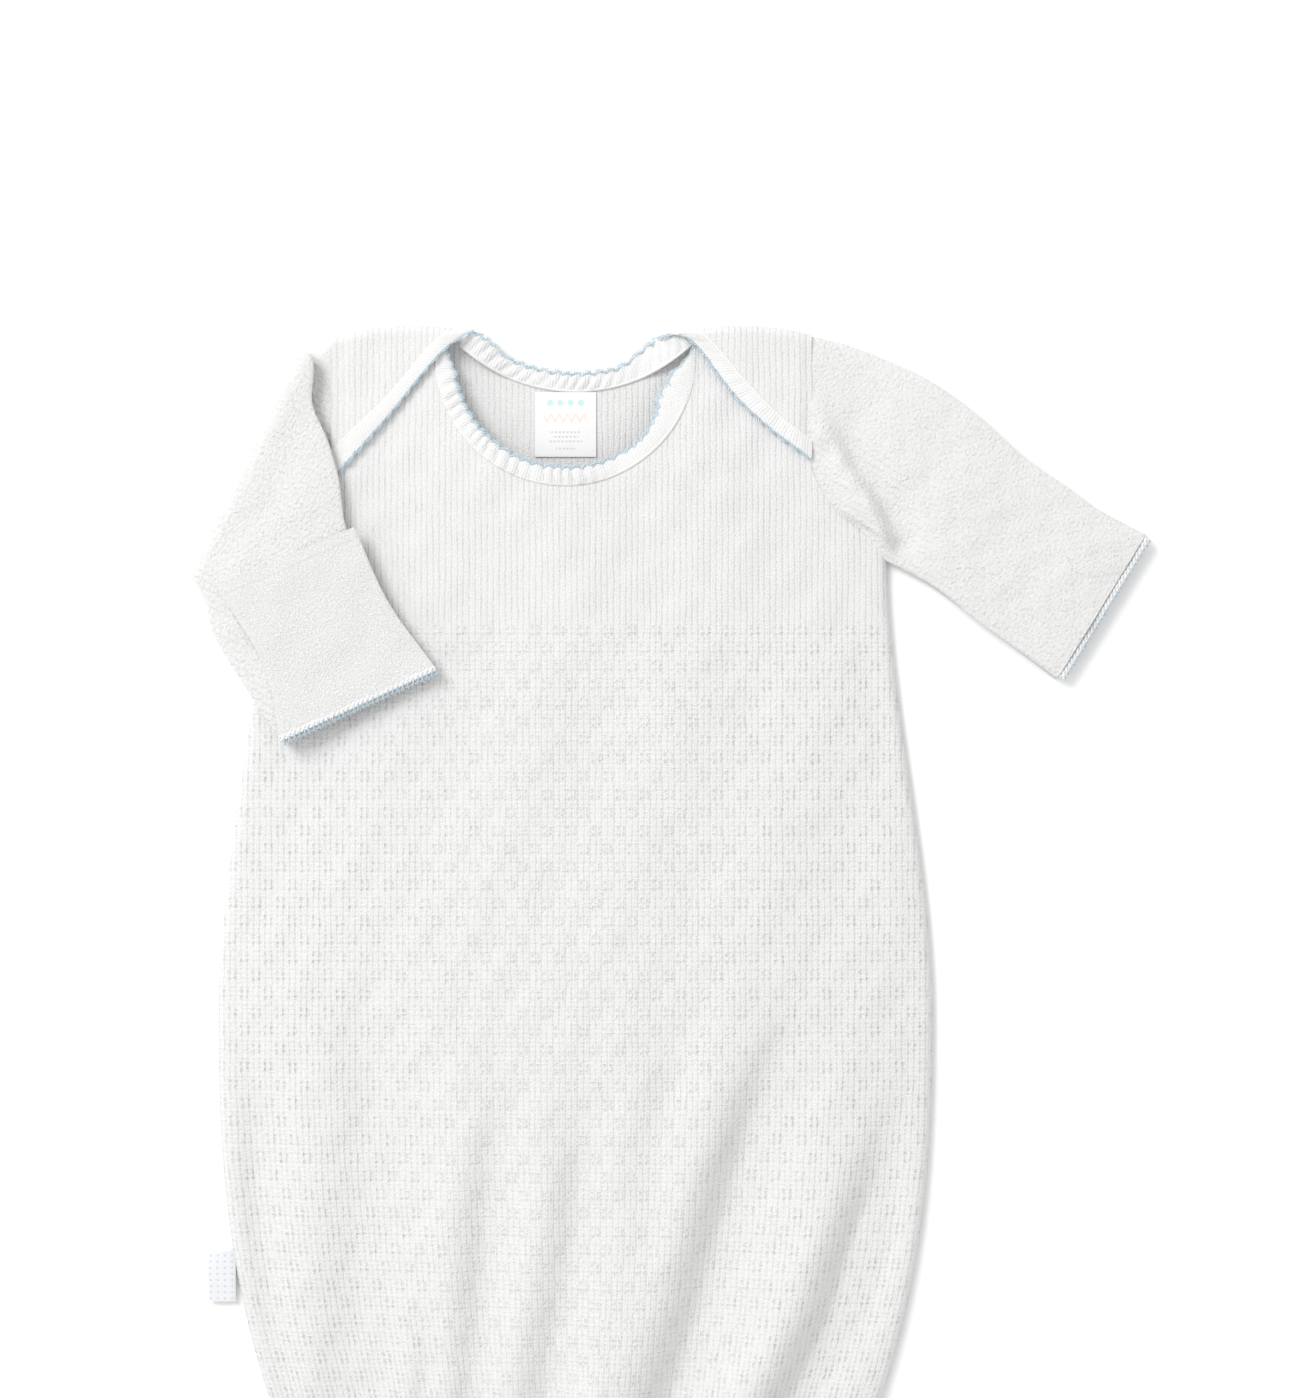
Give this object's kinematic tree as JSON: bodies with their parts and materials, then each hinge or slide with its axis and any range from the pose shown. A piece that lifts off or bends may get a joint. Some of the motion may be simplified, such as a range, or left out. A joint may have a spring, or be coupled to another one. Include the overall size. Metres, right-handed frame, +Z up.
{
  "type": "infant sleeping gown",
  "caption": "Newborn's lap-shoulder sleeping gown in ribbed and eyelet knit, with fold-over mitt cuffs, crocheted edging and a gathered hem, laid flat on its back.",
  "frame": {"origin": "on the back panel's rest face, on the body's centre line, level with the underarms", "axes": "+X to the wearer's left, +Y along the body towards the neck, +Z up through the front panel; the gown lies flat on its back with one sleeve folded over the chest and the other laid out"},
  "size_m": [0.3766, 0.5097, 0.0174],
  "materials": {
    "white_knit": "soft ribbed and eyelet cotton knit",
    "white_eyelet_knit": "soft eyelet cotton knit",
    "white_jersey": "smooth cotton jersey",
    "gathered_band": "gathered cotton rib",
    "blue_crochet": "mercerised cotton thread",
    "seam_thread": "spun sewing thread",
    "elastic": "braided elastic",
    "woven_label": "woven satin label",
    "satin_tab": "folded satin tab"
  },
  "bodies": {
    "torso": {"back_neck_band": "gathered_band", "back_neck_edging": "blue_crochet", "back_neck_seam": "seam_thread", "back_panel": "white_knit", "front_neck_band": "gathered_band", "front_neck_edging": "blue_crochet", "front_neck_seam": "seam_thread", "front_panel": "white_knit", "hem_casing": "white_knit", "hem_elastic": "elastic", "left_armhole_seam": "seam_thread", "left_lap_seam": "seam_thread", "left_shoulder_lap": "white_knit", "left_side_seam": "seam_thread", "left_sleeve_head": "white_eyelet_knit", "right_armhole_seam": "seam_thread", "right_lap_seam": "seam_thread", "right_shoulder_lap": "white_knit", "right_side_seam": "seam_thread", "right_sleeve_head": "white_eyelet_knit"},
    "left_sleeve": {"left_sleeve": "white_eyelet_knit", "left_sleeve_seam": "seam_thread", "left_sleeve_edging": "blue_crochet"},
    "left_mitt": {"left_mitt": "white_jersey", "left_mitt_edging": "blue_crochet", "left_mitt_hem": "white_jersey"},
    "left_lap_edge": {"left_lap_band": "gathered_band", "left_lap_edging": "blue_crochet"},
    "right_sleeve": {"right_sleeve": "white_eyelet_knit", "right_sleeve_seam": "seam_thread", "right_sleeve_edging": "blue_crochet"},
    "right_mitt": {"right_mitt": "white_jersey", "right_mitt_edging": "blue_crochet", "right_mitt_hem": "white_jersey"},
    "right_lap_edge": {"right_lap_band": "gathered_band", "right_lap_edging": "blue_crochet"},
    "neck_label": {"neck_label": "woven_label"},
    "side_label": {"side_label": "satin_tab"}
  },
  "joints": [
    {"name": "left_sleeve_fold", "type": "hinge", "parent": "torso", "child": "left_sleeve", "pos_m": [0.104, 0.0785, 0.009], "axis": [0.2859, -0.9583, 0], "range_deg": [0, 145]},
    {"name": "right_sleeve_fold", "type": "hinge", "parent": "torso", "child": "right_sleeve", "pos_m": [-0.1104, 0.0737, 0.00817], "axis": [-0.4433, -0.8964, 0], "range_deg": [0, 160]},
    {"name": "left_mitt_turn", "type": "hinge", "parent": "left_sleeve", "child": "left_mitt", "pos_m": [0.2066, -0.02417, 0.0015], "axis": [-0.5417, -0.8406, 0], "range_deg": [0, 175]},
    {"name": "right_mitt_turn", "type": "hinge", "parent": "right_sleeve", "child": "right_mitt", "pos_m": [-0.08375, -0.06291, 0.01587], "axis": [0.8949, 0.4462, 0], "range_deg": [0, 175]},
    {"name": "left_lap_lift", "type": "hinge", "parent": "torso", "child": "left_lap_edge", "pos_m": [0.0495, 0.0826, 0.0093], "axis": [-0.7107, 0.7035, 0], "range_deg": [0, 60]},
    {"name": "right_lap_lift", "type": "hinge", "parent": "torso", "child": "right_lap_edge", "pos_m": [-0.0495, 0.0826, 0.0093], "axis": [-0.7107, -0.7035, 0], "range_deg": [0, 60]},
    {"name": "neck_label_lift", "type": "hinge", "parent": "torso", "child": "neck_label", "pos_m": [-0.0039, 0.0604, 0.00225], "axis": [-1, 0, 0], "range_deg": [0, 150]},
    {"name": "side_label_turn", "type": "hinge", "parent": "torso", "child": "side_label", "pos_m": [-0.13442, -0.287, 0.0043], "axis": [0, 1, 0], "range_deg": [0, 150]}
  ]
}
